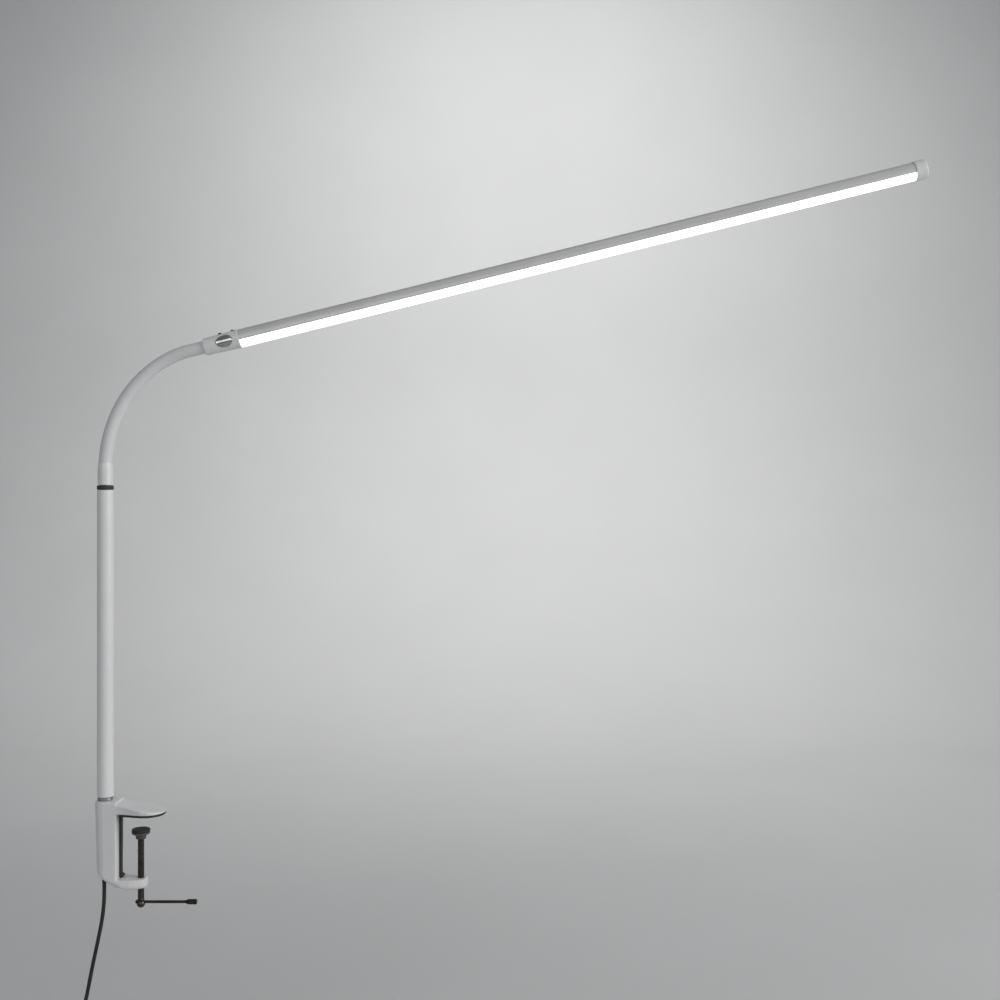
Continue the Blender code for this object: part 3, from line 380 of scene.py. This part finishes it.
def make_materials(lean):
    """Every finish by its material slot; lean is the bar's tilt about Y."""
    along_bar = (0.02, 1, 1)
    turned = (0.04, 0.04, 1)
    return {
        "white_paint": powder_coat("white_paint", 0.74, 1100, 0.025 * MM),
        "cast_paint": powder_coat("cast_paint", 0.72, 800, 0.06 * MM, (0.34, 0.5)),
        "sleeve": surface("sleeve", grey(0.68), grey(0.72), 45, (0.42, 0.52), 1500, 0.012 * MM,
                          constants={"Subsurface Weight": 0.04}),
        "white_plastic": surface("white_plastic", grey(0.66), grey(0.70), 50, (0.38, 0.5), 2200, 0.02 * MM),
        "satin_aluminium": surface("satin_aluminium", grey(0.60), grey(0.66), 35, (0.38, 0.48), 2400, 0.0015 * MM,
                                   metallic=0.35, stretch=along_bar, lean=lean),
        "opal": opal_diffuser(lean, 18 * MM),
        "chrome": surface("chrome", grey(0.40), grey(0.46), 90, (0.04, 0.11), 700, 0.003 * MM, metallic=1.0),
        "steel": surface("steel", grey(0.10, 0.03), grey(0.17, 0.03), 160, (0.2, 0.34), 2600, 0.01 * MM,
                         metallic=0.95, stretch=turned),
        "screw_steel": surface("screw_steel", (0.05, 0.043, 0.038), (0.09, 0.078, 0.07), 200, (0.22, 0.34), 1900,
                               0.01 * MM, metallic=0.9, stretch=turned),
        "dark_steel": surface("dark_steel", (0.022, 0.017, 0.015), (0.045, 0.035, 0.031), 220, (0.26, 0.4), 1500,
                              0.012 * MM, metallic=0.75),
        "brass": surface("brass", (0.62, 0.47, 0.22), (0.74, 0.58, 0.30), 180, (0.22, 0.36), 1800, 0.006 * MM,
                         metallic=1.0),
        "black_rubber": surface("black_rubber", grey(0.018), grey(0.034), 120, (0.62, 0.8), 1500, 0.035 * MM),
        "cord_sheath": surface("cord_sheath", grey(0.008), grey(0.016), 130, (0.33, 0.47), 1300, 0.02 * MM),
        "black_plastic": surface("black_plastic", grey(0.014), grey(0.022), 70, (0.42, 0.56), 2000, 0.05 * MM),
        "strap": surface("strap", grey(0.012), grey(0.03), 900, (0.8, 0.95), 2600, 0.12 * MM,
                         constants={"Sheen Weight": 0.35, "Sheen Roughness": 0.5}),
        "natural_nylon": surface("natural_nylon", (0.66, 0.63, 0.56), (0.74, 0.71, 0.64), 90, (0.4, 0.5), 900,
                                 0.02 * MM, constants={"Subsurface Weight": 0.1}),
        "circuit_board": circuit("circuit_board", (0.02, 0.13, 0.06), (0.03, 0.17, 0.08)),
        "led_board": circuit("led_board", (0.80, 0.80, 0.78), (0.84, 0.84, 0.82)),
        "stage": surface("stage", grey(0.66), grey(0.68), 3, (0.75, 0.85), 300, 0.05 * MM),
    }


# ---------------------------------------------------------------- camera, lights, stage


def make_camera():
    """A level camera in front of the lamp, and plain, unfiltered tones."""
    camera = bpy.data.objects.new("camera", bpy.data.cameras.new("camera"))
    bpy.context.scene.collection.objects.link(camera)
    camera.data.lens = CAMERA_LENS
    camera.data.sensor_width = 36
    camera.location = CAMERA_PLACE
    camera.rotation_euler = (math.pi / 2, 0, 0)
    bpy.context.scene.camera = camera
    bpy.context.scene.view_settings.view_transform = "Standard"


def area_light(name, place, aim, size, power):
    """A soft rectangular light, of this width and height, that faces a point."""
    data = bpy.data.lights.new(name, "AREA")
    data.shape = "RECTANGLE"
    data.size, data.size_y = size
    data.energy = power
    light = bpy.data.objects.new(name, data)
    bpy.context.scene.collection.objects.link(light)
    light.location = place
    light.rotation_euler = (Vector(aim) - Vector(place)).to_track_quat("-Z", "Y").to_euler()
    return light


def make_lights():
    """A tall window on the right, a long soft strip behind the camera and a wash on the backdrop."""
    area_light("window", (2.7, -0.8, 1.1), (0.2, 0, 0.3), (1.7, 1.8), 44)
    area_light("strip", (-0.4, -3.2, 1.0), (0.2, 0, 0.4), (2.6, 1.3), 15)
    area_light("top", (0.3, -0.6, 2.2), (0.3, 0, 0.3), (1.2, 1.2), 2)
    wash = area_light("wash", (0.5, 1.2, 2.9), (0.45, BACKDROP_Y, 0.5), (1.6, 1.6), 22)
    wash.data.spread = math.radians(100)
    world = bpy.data.worlds.new("surround")
    world.use_nodes = True
    background = world.node_tree.nodes["Background"]
    background.inputs["Color"].default_value = (0.95, 0.97, 1.0, 1)
    background.inputs["Strength"].default_value = 0.24
    bpy.context.scene.world = world


def make_stage(material):
    """A pale floor that curves up into a backdrop."""
    floor = cad_box[0].z - FLOOR_DROP
    profile = [(FLOOR_FRONT, floor)]
    for step in range(17):
        angle = math.pi / 2 * step / 16
        across = BACKDROP_Y - BACKDROP_BEND + BACKDROP_BEND * math.sin(angle)
        profile.append((across, floor + BACKDROP_BEND * (1 - math.cos(angle))))
    profile.append((BACKDROP_Y, BACKDROP_TOP))
    points = [(x, y, z) for x in (-STAGE_HALF_WIDTH, STAGE_HALF_WIDTH) for y, z in profile]
    count = len(profile)
    faces = [[i, i + 1, count + i + 1, count + i] for i in range(count - 1)]
    piece("stage", smooth_mesh("stage", points, faces), material, None)


# ---------------------------------------------------------------- cord


def coil_changes():
    """When, in degrees turned, each turn passes to the next place in the bundle."""
    changes, turned, side_before = [], COIL_FIRST_CHANGE, False
    for index, (outward, sideways) in enumerate(COIL_PLACES):
        if index:
            stagger = COIL_CHANGE if sideways or side_before else 0
            turned += 360 - stagger
        side_before = bool(sideways)
        changes.append((turned, outward, sideways))
    return changes


def coil_route(centre, radius, width):
    """The wound cord's centreline: three turns deep and four wide, wound in and out."""
    changes = coil_changes()
    places = []
    steps = round(COIL_TURNED / 15)
    for step in range(steps + 1):
        turned = COIL_TURNED * step / steps
        distance, side = radius + CORD_DIAMETER, -1.5 * width
        for start, outward, sideways in changes:
            share = ease((turned - start) / COIL_CHANGE)
            distance += outward * CORD_DIAMETER * share
            side += sideways * width * share
        angle = math.radians(COIL_FIRST_ANGLE + turned)
        places.append(centre + Vector((distance * math.cos(angle), side, distance * math.sin(angle))))
    return places


def make_cord(material, strap):
    """The whole lead in one length: free stretch, wound coil and tail into the adapter."""
    low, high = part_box("cord_coil")
    centre = (low + high) / 2
    mid_radius = (high.x - low.x) / 2 - 1.5 * CORD_DIAMETER
    places = [Vector(p) * MM for p in CORD_ROUTE + CORD_INTO_COIL]
    places += coil_route(centre, mid_radius, CORD_DIAMETER)
    places += [Vector(p) * MM for p in [*CORD_OUT_OF_COIL, CORD_END]]
    route, length = smooth_route(places, 1.05 * CORD_DIAMETER)
    print(f"cord {length:.3f} m")
    data = bpy.data.curves.new("power_cord", "CURVE")
    data.dimensions = "3D"
    data.bevel_depth = CORD_DIAMETER / 2
    data.bevel_resolution = 3
    data.use_fill_caps = True
    line = data.splines.new("POLY")
    line.points.add(len(route) - 1)
    for point, place in zip(line.points, route):
        point.co = (*place, 1)
    line.use_smooth = True
    cord = piece("power_cord", data, material, "clamp", ["cord", "cord_coil", "cord_tail"])
    on_cord = [make_tie(strap), "adapter_relief", "adapter_back", "adapter_front"]
    on_cord += ["adapter_blade_1", "adapter_blade_2", "driver_board"]


def make_tie(material):
    """A hook-and-loop strap round the coil, with its overlapping end left proud."""
    low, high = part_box("coil_tie")
    centre = (low + high) / 2
    thick = 1.1 * MM
    half = Vector(((high.x - low.x) / 2 - thick, (high.y - low.y) / 2 - thick, (high.z - low.z) / 2))
    corner = 2.6 * MM
    outline = []
    corners = [(1, 1), (-1, 1), (-1, -1), (1, -1)]
    for index, (x, y) in enumerate(corners):
        middle = centre + Vector((x * (half.x - corner), y * (half.y - corner), 0))
        for step in range(7):
            angle = math.pi / 2 * (index + step / 6)
            outline.append((middle, Vector((math.cos(angle), math.sin(angle), 0))))
    levels = [(0, -1), (thick, -0.94), (thick, 0.94), (0, 1)]
    points = []
    for out, level in levels:
        rise = Vector((0, 0, half.z * level))
        points += [middle + way * (corner + out) + rise for middle, way in outline]
    ring = smooth_mesh("coil_strap", points, ring_faces(len(levels), len(outline), True))
    strap = piece("coil_strap", ring, material, "clamp", ["coil_tie"])
    make_tie_end(centre + Vector((half.x + thick, 0, 0)), half, thick, material)
    return strap


def make_tie_end(root, half, thick, material):
    """The strap's free end, laid back over its outer face."""
    points = []
    rows = 9
    for row in range(rows):
        share = row / (rows - 1)
        y = half.y * (0.75 - 1.35 * share)
        lift = 0.05 * MM + 0.55 * MM * share**3
        narrow = half.z * 0.9 * math.sqrt(max(0.0, 1 - max(0.0, (share - 0.7) / 0.33) ** 2))
        for x, z in ((lift, -narrow), (lift + thick * 0.8, -narrow), (lift + thick * 0.8, narrow), (lift, narrow)):
            points.append(root + Vector((x, y, z)))
    faces = ring_faces(rows, 4, False) + end_faces(len(points))
    piece("coil_strap_end", smooth_mesh("coil_strap_end", points, faces), material, "clamp")


# ---------------------------------------------------------------- gooseneck


def neck_joints():
    """The gooseneck's joints from the pole up, as (parent, child, place)."""
    named = [j for j in frame["joints"] if j["name"].startswith("gooseneck")]
    by_parent = {j["parent"]: j for j in named}
    chain, body = [], "pole"
    while body in by_parent:
        joint = by_parent[body]
        chain.append((body, joint["child"], Vector(joint["pos_m"])))
        body = joint["child"]
    return chain


def bar_direction():
    """The way the bar points, from the last neck joint to the end cap."""
    low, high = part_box("end_cap")
    return ((low + high) / 2 - neck_joints()[-1][2]).normalized()


def make_sleeve(material):
    """The gooseneck's smooth sleeve: one tube piece over each joint, from mid-link to mid-link."""
    chain = neck_joints()
    places = [place for _, _, place in chain]
    step = (places[1] - places[0]).length
    ahead = bar_direction()
    top = places[-1]
    places = [places[0] - Vector((0, 0, step)), *places, top + ahead * step, top + ahead * SLEEVE_END]
    ends = [2 * places[0] - places[1], *places, 2 * places[-1] - places[-2]]

    def centre(u):
        index = min(len(places) - 2, max(0, int(u)))
        return catmull_rom(*ends[index : index + 4], u - index)

    for index, (parent, child, _) in enumerate(chain):
        start = 0.0 if index == 0 else index + 0.5
        end = index + 3.0 if index == len(chain) - 1 else index + 1.5
        stations = []
        for ring in range(SLEEVE_RINGS):
            u = start + (end - start) * ring / (SLEEVE_RINGS - 1)
            along = (centre(u + 0.01) - centre(u - 0.01)).normalized()
            side = Vector((0, 1, 0))
            stations.append((centre(u), side, side.cross(along), SLEEVE_RADIUS))
        stations += [(p, s, n, SLEEVE_INNER_RADIUS) for p, s, n, _ in reversed(stations)]
        name = f"sleeve_{index + 1:02d}"
        data = swept(name, stations, segments=SLEEVE_SEGMENTS)
        hidden = [f"neck_link_{index:02d}"] if index else []
        if index == len(chain) - 1:
            hidden.append("upper_ferrule")
        tube = piece(name, data, material, None, hidden)
        first = centre(max(start, index + 0.5) + RIGID_SHARE)
        last = centre(min(end, index + 1.5) - RIGID_SHARE)
        if index + 1 in BENT_FROM_ABOVE:
            parent, child, first, last = child, parent, last, first
        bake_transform(tube)


# ---------------------------------------------------------------- clamp and head details


def make_thread(material):
    """The screw's thread, a fine ridge wound round the plain CAD rod."""
    low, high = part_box("clamp_screw")
    bottom, top = low.z + 9.6 * MM, high.z - 1.5 * MM
    turns = (top - bottom) / THREAD_PITCH
    steps = round(turns * THREAD_STEPS)
    points = []
    for step in range(steps + 1):
        share = step / steps
        angle = math.tau * turns * share
        z = bottom + (top - bottom) * share
        run_out = ease(min(share, 1 - share) * turns)
        crest = THREAD_ROOT + (THREAD_CREST - THREAD_ROOT) * run_out
        for radius, rise in ((THREAD_ROOT, -0.46), (crest, -0.06), (crest, 0.06), (THREAD_ROOT, 0.46)):
            points.append((radius * math.cos(angle), radius * math.sin(angle), z + rise * THREAD_PITCH))
    faces = ring_faces(steps + 1, 4, False) + end_faces(len(points))
    data = smooth_mesh("screw_thread", points, faces, math.radians(25))
    piece("screw_thread", data, material, "clamp_screw_body")


def make_touch_plate(material):
    """The oval touch plate on the socket's front, with a rounded rim and a fine step inside it."""
    low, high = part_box("touch_plate")
    along = bar_direction()
    up = Vector((-along.z, 0, along.x))
    middle = (low + high) / 2
    middle.y = 0
    profile = [(0, 0), (0.3, 0), (0.6, 0), (0.8, 0), (0.84, 0), (0.86, 0.12), (0.9, 0.12), (0.92, 0)]
    profile += [(0.95, 0.02), (0.98, 0.1), (1.0, 0.26)]
    around = 64
    points, rings = [], []
    layers = [(share, PLATE_RADIUS - drop * MM) for share, drop in profile]
    layers += [(share, PLATE_RADIUS - PLATE_THICKNESS) for share in (1.0, 0.5, 0)]
    for share, radius in layers:
        ring = []
        for step in range(around if share else 1):
            turn = math.tau * step / around
            lift = math.asin(PLATE_HALF_HEIGHT * share * math.sin(turn) / PLATE_RADIUS)
            x = PLATE_HALF_LENGTH * share * math.cos(turn)
            ring.append(len(points))
            place = middle + along * x + up * (radius * math.sin(lift))
            points.append(place + Vector((0, -radius * math.cos(lift), 0)))
        rings.append(ring)
    faces = []
    for near, far in zip(rings, rings[1:]):
        for step in range(around):
            after = (step + 1) % around
            corners = [near[step % len(near)], near[after % len(near)]]
            corners += [far[after % len(far)], far[step % len(far)]]
            faces.append(list(dict.fromkeys(corners)))
    data = smooth_mesh("touch_plate_face", points, faces, math.radians(30))
    piece("touch_plate_face", data, material, "head", ["touch_plate"])


def make_strain_relief(material):
    """The lead's ribbed strain relief, where it leaves the clamp."""
    low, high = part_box("strain_relief")
    axis = Vector(((low.x + high.x) / 2, (low.y + high.y) / 2, 0))
    length = high.z - low.z
    ribs = [(2.0, 0.0)]
    for rib in range(4):
        z = 0.5 + rib * 1.7
        ribs += [(2.12 + 0.03 * rib, z), (2.12 + 0.03 * rib, z + 1.0), (1.92, z + 1.15), (1.92, z + 1.55)]
    ribs += [(2.28, 7.5), (2.28, length / MM)]
    side, up = Vector((1, 0, 0)), Vector((0, 1, 0))
    stations = [(axis + Vector((0, 0, low.z + z * MM)), side, up, r * MM) for r, z in ribs]
    stations += [(stations[-1][0], side, up, 0.2 * MM), (stations[0][0], side, up, 0.2 * MM)]
    data = swept("ribbed_relief", stations, math.radians(30), 28)
    piece("ribbed_relief", data, material, "clamp", ["strain_relief"])


# ---------------------------------------------------------------- the CAD nodes' finishes

# These differ from the finish of their material slot.
SPECIAL_FINISH = {
    "clamp_screw": "screw_steel",
    "clamp_frame": "cast_paint",
    "head_socket": "white_paint",
}


def finish_nodes(materials):
    """Gives each CAD node the finish of its own slot, or a special one."""
    slots = {part["node"]: part["material_slot"] for part in frame["record"]["subparts"]}
    for name, node in frame["nodes"].items():
        made = materials[SPECIAL_FINISH.get(name, slots[name])]
        if not node.material_slots:
            node.data.materials.append(made)
        for held in node.material_slots:
            held.material = made


make_camera()
bar_lean = math.atan2(bar_direction().z, bar_direction().x)
materials = make_materials(bar_lean)
finish_nodes(materials)
make_cord(materials["cord_sheath"], materials["strap"])
make_sleeve(materials["sleeve"])
make_thread(materials["screw_steel"])
make_touch_plate(materials["chrome"])
make_strain_relief(materials["black_rubber"])
make_lights()
make_stage(materials["stage"])
